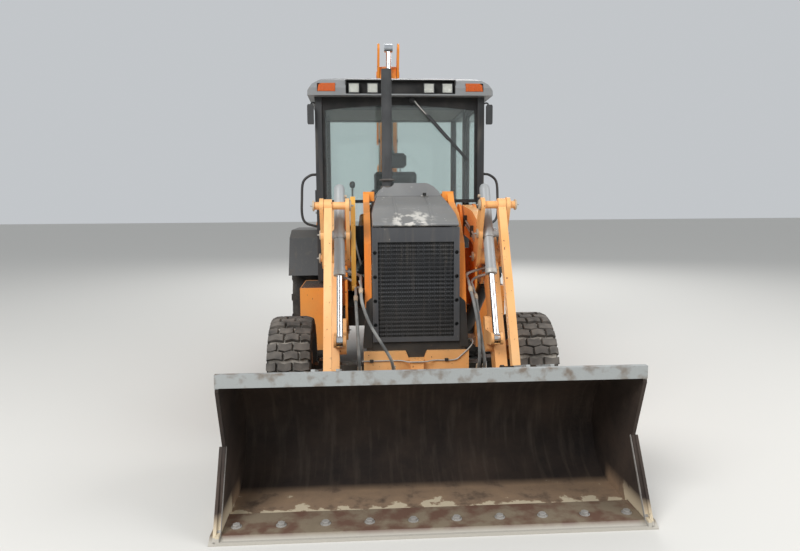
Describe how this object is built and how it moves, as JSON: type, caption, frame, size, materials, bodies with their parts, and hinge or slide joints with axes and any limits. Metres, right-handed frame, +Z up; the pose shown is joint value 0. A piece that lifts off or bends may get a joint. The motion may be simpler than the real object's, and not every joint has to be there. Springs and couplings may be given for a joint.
{
  "type": "backhoe loader",
  "caption": "Backhoe loader with a wide front bucket on twin arms, a closed cab, a hinged hood and a folded rear digging arm between stabilisers.",
  "frame": {"origin": "on the ground, under the middle of the machine's box", "axes": "+Z up, the front bucket faces -Y, +X is the machine's left"},
  "size_m": [2.248, 6.3754, 3.5545],
  "materials": {
    "orange_paint": "satin orange paint",
    "faded_paint": "sun-faded orange paint",
    "grey_paint": "silver grey paint",
    "black_steel": "satin black paint",
    "worn_steel": "worn brown steel",
    "cast_iron": "dark cast iron",
    "chrome": "polished",
    "exhaust_steel": "heat-dulled steel",
    "tyre_rubber": "dusty rubber",
    "tinted_glass": "tinted",
    "lamp_lens": "clear lens",
    "seat_fabric": "black cloth",
    "dark_plastic": "moulded"
  },
  "bodies": {
    "root": {"frame": "black_steel", "front_bumper": "faded_paint", "loader_towers": "orange_paint", "front_axle": "black_steel", "rear_axle": "black_steel", "engine": "cast_iron", "grille": "black_steel", "side_panels": "orange_paint", "rear_cowl": "grey_paint", "exhaust": "exhaust_steel", "cab_frame": "black_steel", "fenders": "black_steel", "roof": "grey_paint", "cab_glass": "tinted_glass", "seat": "seat_fabric", "console": "dark_plastic", "side_boxes": "orange_paint", "rear_frame": "orange_paint", "lamps": "lamp_lens"},
    "hood": {"hood": "grey_paint"},
    "door_left": {"door_left": "black_steel", "door_left_glass": "tinted_glass"},
    "door_right": {"door_right": "black_steel", "door_right_glass": "tinted_glass"},
    "knuckle_left": {"knuckle_left": "black_steel"},
    "knuckle_right": {"knuckle_right": "black_steel"},
    "front_wheel_left": {"front_tyre_left": "tyre_rubber", "front_rim_left": "orange_paint"},
    "front_wheel_right": {"front_tyre_right": "tyre_rubber", "front_rim_right": "orange_paint"},
    "rear_wheel_left": {"rear_tyre_left": "tyre_rubber", "rear_rim_left": "orange_paint"},
    "rear_wheel_right": {"rear_tyre_right": "tyre_rubber", "rear_rim_right": "orange_paint"},
    "loader_arms": {"loader_arms": "faded_paint"},
    "bellcranks": {"bellcranks": "faded_paint"},
    "bucket_links": {"bucket_links": "faded_paint"},
    "loader_bucket": {"loader_bucket": "worn_steel"},
    "tilt_barrels": {"tilt_barrels": "grey_paint"},
    "tilt_rods": {"tilt_rods": "chrome"},
    "lift_barrels": {"lift_barrels": "black_steel"},
    "lift_rods": {"lift_rods": "chrome"},
    "swing_post": {"swing_post": "orange_paint"},
    "boom": {"boom": "orange_paint"},
    "dipper": {"dipper": "orange_paint"},
    "digging_bucket": {"digging_bucket": "worn_steel"},
    "rocker": {"rocker": "orange_paint"},
    "rocker_link": {"rocker_link": "orange_paint"},
    "boom_barrel": {"boom_barrel": "black_steel"},
    "boom_rod": {"boom_rod": "chrome"},
    "dipper_barrel": {"dipper_barrel": "black_steel"},
    "dipper_rod": {"dipper_rod": "chrome"},
    "bucket_barrel": {"bucket_barrel": "black_steel"},
    "bucket_rod": {"bucket_rod": "chrome"},
    "stabiliser_left": {"stabiliser_left": "orange_paint"},
    "stabiliser_right": {"stabiliser_right": "orange_paint"},
    "stabiliser_barrel_left": {"stabiliser_barrel_left": "black_steel"},
    "stabiliser_barrel_right": {"stabiliser_barrel_right": "black_steel"},
    "stabiliser_rod_left": {"stabiliser_rod_left": "chrome"},
    "stabiliser_rod_right": {"stabiliser_rod_right": "chrome"}
  },
  "joints": [
    {"name": "loader_lift", "type": "hinge", "parent": "root", "child": "loader_arms", "pos_m": [0, -0.68771, 1.52], "axis": [-1, 0, 0], "range_deg": [0, 75]},
    {"name": "bucket_tilt", "type": "hinge", "parent": "loader_arms", "child": "loader_bucket", "pos_m": [0, -2.21771, 0.26], "axis": [1, 0, 0], "range_deg": [-28, 90]},
    {"name": "bellcrank_turn", "type": "hinge", "parent": "loader_arms", "child": "bellcranks", "pos_m": [0, -1.74771, 1.28], "axis": [1, 0, 0], "range_deg": [-28, 90]},
    {"name": "link_turn", "type": "hinge", "parent": "bellcranks", "child": "bucket_links", "pos_m": [0, -1.94745, 1.64034], "axis": [1, 0, 0], "range_deg": [-90, 28]},
    {"name": "tilt_barrel_turn", "type": "hinge", "parent": "bellcranks", "child": "tilt_barrels", "pos_m": [0, -1.85955, 1.44581], "axis": [1, 0, 0], "range_deg": [-90, 28]},
    {"name": "tilt_rod_slide", "type": "slide", "parent": "tilt_barrels", "child": "tilt_rods", "axis": [0, 0.411, 0.9116], "range_m": [-0.08565, 0.2753]},
    {"name": "lift_barrel_turn", "type": "hinge", "parent": "root", "child": "lift_barrels", "pos_m": [0, -0.74771, 0.58], "axis": [1, 0, 0], "range_deg": [-39.6, 0]},
    {"name": "lift_rod_slide", "type": "slide", "parent": "lift_barrels", "child": "lift_rods", "axis": [0, -0.8486, 0.5291], "range_m": [0, 0.80402]},
    {"name": "steer_left", "type": "hinge", "parent": "root", "child": "knuckle_left", "pos_m": [0.635, -1.48771, 0.415], "axis": [0, 0, 1], "range_deg": [-35, 35]},
    {"name": "steer_right", "type": "hinge", "parent": "root", "child": "knuckle_right", "pos_m": [-0.635, -1.48771, 0.415], "axis": [0, 0, 1], "range_deg": [-35, 35]},
    {"name": "front_spin_left", "type": "hinge", "parent": "knuckle_left", "child": "front_wheel_left", "pos_m": [0.87, -1.48771, 0.415], "axis": [1, 0, 0], "continuous": true},
    {"name": "front_spin_right", "type": "hinge", "parent": "knuckle_right", "child": "front_wheel_right", "pos_m": [-0.87, -1.48771, 0.415], "axis": [1, 0, 0], "continuous": true},
    {"name": "rear_spin_left", "type": "hinge", "parent": "root", "child": "rear_wheel_left", "pos_m": [0.82, 0.65229, 0.64], "axis": [1, 0, 0], "continuous": true},
    {"name": "rear_spin_right", "type": "hinge", "parent": "root", "child": "rear_wheel_right", "pos_m": [-0.82, 0.65229, 0.64], "axis": [1, 0, 0], "continuous": true},
    {"name": "hood_lid", "type": "hinge", "parent": "root", "child": "hood", "pos_m": [0, -1.97571, 1.506], "axis": [1, 0, 0], "range_deg": [0, 60]},
    {"name": "door_left_swing", "type": "hinge", "parent": "root", "child": "door_left", "pos_m": [0.757, 0.33929, 2], "axis": [0, 0, 1], "range_deg": [0, 80]},
    {"name": "door_right_swing", "type": "hinge", "parent": "root", "child": "door_right", "pos_m": [-0.757, 0.33929, 2], "axis": [0, 0, -1], "range_deg": [0, 80]},
    {"name": "backhoe_swing", "type": "hinge", "parent": "root", "child": "swing_post", "pos_m": [0, 1.92229, 0.7], "axis": [0, 0, 1], "range_deg": [-90, 90]},
    {"name": "boom_lower", "type": "hinge", "parent": "swing_post", "child": "boom", "pos_m": [0, 2.22229, 0.76], "axis": [-1, 0, 0], "range_deg": [0, 105]},
    {"name": "boom_barrel_turn", "type": "hinge", "parent": "swing_post", "child": "boom_barrel", "pos_m": [0, 1.98229, 1.01], "axis": [1, 0, 0], "range_deg": [-106.72, 0]},
    {"name": "boom_rod_slide", "type": "slide", "parent": "boom_barrel", "child": "boom_rod", "axis": [0, -0.1958, 0.9806], "range_m": [0, 0.54854]},
    {"name": "dipper_open", "type": "hinge", "parent": "boom", "child": "dipper", "pos_m": [0, 1.90159, 3.22926], "axis": [1, 0, 0], "range_deg": [0, 105]},
    {"name": "dipper_barrel_turn", "type": "hinge", "parent": "boom", "child": "dipper_barrel", "pos_m": [0, 1.74541, 2.24532], "axis": [1, 0, 0], "range_deg": [0, 2.86]},
    {"name": "dipper_rod_slide", "type": "slide", "parent": "dipper_barrel", "child": "dipper_rod", "axis": [0, -0.0264, 0.9997], "range_m": [-0.52141, 0]},
    {"name": "digging_bucket_open", "type": "hinge", "parent": "dipper", "child": "digging_bucket", "pos_m": [0, 2.85471, 1.76159], "axis": [1, 0, 0], "range_deg": [0, 118]},
    {"name": "rocker_turn", "type": "hinge", "parent": "dipper", "child": "rocker", "pos_m": [0, 2.65951, 2.13561], "axis": [1, 0, 0], "range_deg": [0, 118]},
    {"name": "rocker_link_turn", "type": "hinge", "parent": "rocker", "child": "rocker_link", "pos_m": [0, 2.90673, 2.00416], "axis": [1, 0, 0], "range_deg": [-118, 0]},
    {"name": "bucket_barrel_turn", "type": "hinge", "parent": "dipper", "child": "bucket_barrel", "pos_m": [0, 2.18914, 3.15368], "axis": [1, 0, 0], "range_deg": [0, 0.5345]},
    {"name": "bucket_rod_slide", "type": "slide", "parent": "bucket_barrel", "child": "bucket_rod", "axis": [0, 0.5295, -0.8483], "range_m": [-0.4799, 0]},
    {"name": "stabiliser_left_lower", "type": "hinge", "parent": "root", "child": "stabiliser_left", "pos_m": [0.43, 1.41229, 0.6], "axis": [0, 1, 0], "range_deg": [0, 101]},
    {"name": "stabiliser_barrel_left_turn", "type": "hinge", "parent": "root", "child": "stabiliser_barrel_left", "pos_m": [0.33, 1.41229, 1.5], "axis": [0, 1, 0], "range_deg": [-10.36, 0]},
    {"name": "stabiliser_rod_left_slide", "type": "slide", "parent": "stabiliser_barrel_left", "child": "stabiliser_rod_left", "axis": [0.1973, 0, -0.9803], "range_m": [0, 0.4397]},
    {"name": "stabiliser_right_lower", "type": "hinge", "parent": "root", "child": "stabiliser_right", "pos_m": [-0.43, 1.41229, 0.6], "axis": [0, -1, 0], "range_deg": [0, 101]},
    {"name": "stabiliser_barrel_right_turn", "type": "hinge", "parent": "root", "child": "stabiliser_barrel_right", "pos_m": [-0.33, 1.41229, 1.5], "axis": [0, -1, 0], "range_deg": [-10.36, 0]},
    {"name": "stabiliser_rod_right_slide", "type": "slide", "parent": "stabiliser_barrel_right", "child": "stabiliser_rod_right", "axis": [-0.1973, 0, -0.9803], "range_m": [0, 0.4397]}
  ],
  "couplings": [
    {"joint": "bellcrank_turn", "follows": "bucket_tilt", "ratio": 1},
    {"joint": "link_turn", "follows": "bucket_tilt", "ratio": -1},
    {"joint": "tilt_barrel_turn", "follows": "bucket_tilt", "ratio": -1},
    {"joint": "tilt_rod_slide", "follows": "bucket_tilt", "m_per_rad": 0.17526},
    {"joint": "lift_barrel_turn", "follows": "loader_lift", "ratio": -0.52803},
    {"joint": "lift_rod_slide", "follows": "loader_lift", "m_per_rad": 0.61423},
    {"joint": "steer_right", "follows": "steer_left", "ratio": 1},
    {"joint": "boom_barrel_turn", "follows": "boom_lower", "ratio": -1.0164},
    {"joint": "boom_rod_slide", "follows": "boom_lower", "m_per_rad": 0.29932},
    {"joint": "dipper_barrel_turn", "follows": "dipper_open", "ratio": 0.027271},
    {"joint": "dipper_rod_slide", "follows": "dipper_open", "m_per_rad": -0.28452},
    {"joint": "rocker_turn", "follows": "digging_bucket_open", "ratio": 1},
    {"joint": "rocker_link_turn", "follows": "digging_bucket_open", "ratio": -1},
    {"joint": "bucket_barrel_turn", "follows": "digging_bucket_open", "ratio": 0.00453},
    {"joint": "bucket_rod_slide", "follows": "digging_bucket_open", "m_per_rad": -0.23302},
    {"joint": "stabiliser_barrel_left_turn", "follows": "stabiliser_left_lower", "ratio": -0.10253},
    {"joint": "stabiliser_rod_left_slide", "follows": "stabiliser_left_lower", "m_per_rad": 0.24943},
    {"joint": "stabiliser_barrel_right_turn", "follows": "stabiliser_right_lower", "ratio": -0.10253},
    {"joint": "stabiliser_rod_right_slide", "follows": "stabiliser_right_lower", "m_per_rad": 0.24943}
  ]
}
